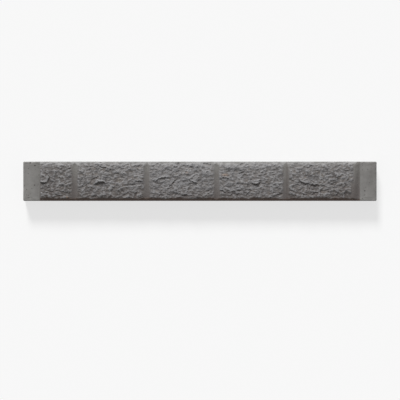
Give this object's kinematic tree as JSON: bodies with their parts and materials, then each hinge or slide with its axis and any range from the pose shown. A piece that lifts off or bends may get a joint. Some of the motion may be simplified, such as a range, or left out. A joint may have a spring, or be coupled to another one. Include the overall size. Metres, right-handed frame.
{
  "type": "concrete retaining wall sleeper",
  "caption": "Long precast concrete retaining wall sleeper with a crowned split sandstone block face, hollow joints, rounded margins and plain end tongues that slide into steel posts.",
  "frame": {"origin": "centre of the back face, which lies on the floor", "axes": "+X along the sleeper towards the end that finishes with a joint, +Y up the wall it would be laid in, +Z out of the block face"},
  "size_m": [1.8, 0.2, 0.095],
  "materials": {
    "concrete": "matte"
  },
  "bodies": {
    "root": {"sleeper": "concrete"}
  },
  "joints": []
}
